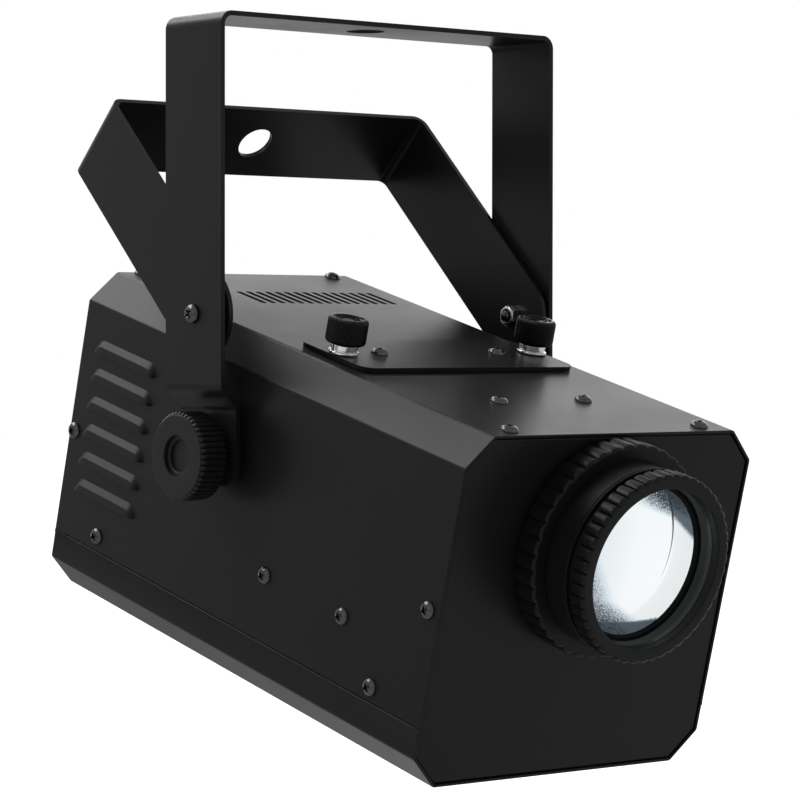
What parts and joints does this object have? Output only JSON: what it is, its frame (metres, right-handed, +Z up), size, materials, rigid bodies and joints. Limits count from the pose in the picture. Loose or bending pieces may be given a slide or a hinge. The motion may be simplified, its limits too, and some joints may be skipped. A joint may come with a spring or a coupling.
{
  "type": "gobo projector",
  "caption": "LED gobo projector: folded steel housing with zoom and focus lens, tilting in a joggled hanging yoke with a second hinged yoke.",
  "frame": {"origin": "centre of the clamp bolt's hole, on the top face of the main yoke's crossbar", "axes": "+Z up, out of the crossbar's top face; the nose with the lens points along -Y; +X along the tilt axis, to the right as the lens is looked at from in front"},
  "size_m": [0.1948, 0.3096, 0.3003],
  "materials": {
    "powder_coat": "semi-matt black powder coat",
    "black_plastic": "moulded black, satin",
    "zinc_steel": "bright zinc plate",
    "black_steel": "blackened steel",
    "nickel": "polished nickel plate",
    "black_anodised": "black anodised, fine turned",
    "lens_glass": "coated optical glass",
    "heatsink_aluminium": "plain extruded",
    "green_board": "solder mask",
    "white_board": "white solder mask",
    "phosphor": "yellow phosphor"
  },
  "bodies": {
    "yoke": {"main_yoke": "powder_coat", "hinge_bolt_left": "black_steel", "hinge_washer_left": "zinc_steel", "hinge_nut_left": "zinc_steel", "hinge_bolt_right": "black_steel", "hinge_washer_right": "zinc_steel", "hinge_nut_right": "zinc_steel"},
    "second_yoke": {"second_yoke": "powder_coat"},
    "housing": {"top_cover": "powder_coat", "bottom_tray": "powder_coat", "front_panel": "powder_coat", "rear_panel": "powder_coat", "clinch_nut_left": "zinc_steel", "tilt_spacer_left": "black_plastic", "knob_washer_left": "black_steel", "clinch_nut_right": "zinc_steel", "tilt_spacer_right": "black_plastic", "knob_washer_right": "black_steel", "gobo_gate": "black_anodised", "plate_nut_left": "zinc_steel", "plate_nut_right": "zinc_steel", "lens_barrel": "black_anodised", "optical_bench": "zinc_steel", "condenser_holder": "black_anodised", "condenser_lens": "lens_glass", "led_board": "white_board", "led_emitter": "phosphor", "heatsink": "heatsink_aluminium", "fan_frame": "black_plastic", "power_board": "green_board", "transformer": "black_steel", "capacitor": "black_plastic", "power_inlet": "black_plastic", "fuse_holder": "black_plastic"},
    "tilt_knob_left": {"tilt_knob_left": "black_plastic", "knob_stud_left": "zinc_steel"},
    "tilt_knob_right": {"tilt_knob_right": "black_plastic", "knob_stud_right": "zinc_steel"},
    "gobo_slide": {"access_plate": "powder_coat", "gobo_carrier": "black_steel", "gobo_disc": "zinc_steel", "gobo_ring": "zinc_steel"},
    "thumbscrew_left": {"thumbscrew_collar_left": "nickel", "thumbscrew_head_left": "black_plastic"},
    "thumbscrew_right": {"thumbscrew_collar_right": "nickel", "thumbscrew_head_right": "black_plastic"},
    "zoom_ring": {"zoom_ring": "black_plastic"},
    "zoom_cell": {"zoom_lens_cell": "black_anodised", "zoom_lens": "lens_glass"},
    "focus_sleeve": {"objective_sleeve": "black_anodised", "objective_lens": "lens_glass", "objective_retainer": "black_anodised"},
    "focus_ring": {"focus_ring": "black_plastic"},
    "fan_rotor": {"fan_rotor": "black_plastic"}
  },
  "joints": [
    {"name": "housing_tilt", "type": "hinge", "parent": "yoke", "child": "housing", "pos_m": [0, 0, -0.1771], "axis": [1, 0, 0], "range_deg": [-59.8, 165.2]},
    {"name": "second_yoke_swing", "type": "hinge", "parent": "yoke", "child": "second_yoke", "pos_m": [0, 0, -0.1202], "axis": [1, 0, 0], "range_deg": [-9.75, 45.25]},
    {"name": "tilt_knob_left_turn", "type": "hinge", "parent": "housing", "child": "tilt_knob_left", "pos_m": [-0.09, 0, -0.1771], "axis": [-1, 0, 0], "continuous": true},
    {"name": "tilt_knob_right_turn", "type": "hinge", "parent": "housing", "child": "tilt_knob_right", "pos_m": [0.09, 0, -0.1771], "axis": [1, 0, 0], "continuous": true},
    {"name": "gobo_slide_lift", "type": "slide", "parent": "housing", "child": "gobo_slide", "axis": [0, -0.2554, 0.9668], "range_m": [0, 0.06]},
    {"name": "thumbscrew_left_turn", "type": "hinge", "parent": "gobo_slide", "child": "thumbscrew_left", "pos_m": [-0.0502, -0.04775, -0.13573], "axis": [0, -0.2554, 0.9668], "continuous": true},
    {"name": "thumbscrew_right_turn", "type": "hinge", "parent": "gobo_slide", "child": "thumbscrew_right", "pos_m": [0.0502, -0.04775, -0.13573], "axis": [0, -0.2554, 0.9668], "continuous": true},
    {"name": "zoom_turn", "type": "hinge", "parent": "housing", "child": "zoom_ring", "pos_m": [0, -0.14771, -0.21033], "axis": [0, -0.9668, -0.2554], "range_deg": [-45, 45]},
    {"name": "zoom_travel", "type": "slide", "parent": "housing", "child": "zoom_cell", "axis": [0, -0.9668, -0.2554], "range_m": [-0.006, 0.006]},
    {"name": "focus_travel", "type": "slide", "parent": "housing", "child": "focus_sleeve", "axis": [0, -0.9668, -0.2554], "range_m": [-0.002, 0.006]},
    {"name": "focus_turn", "type": "hinge", "parent": "focus_sleeve", "child": "focus_ring", "pos_m": [0, -0.17043, -0.21634], "axis": [0, -0.9668, -0.2554], "range_deg": [-30, 90]},
    {"name": "fan_spin", "type": "hinge", "parent": "housing", "child": "fan_rotor", "pos_m": [0, 0.09003, -0.14752], "axis": [0, 0.9668, 0.2554], "continuous": true}
  ],
  "couplings": [
    {"joint": "zoom_turn", "follows": "zoom_travel", "rad_per_m": 130.89},
    {"joint": "focus_turn", "follows": "focus_travel", "rad_per_m": 261.79}
  ]
}
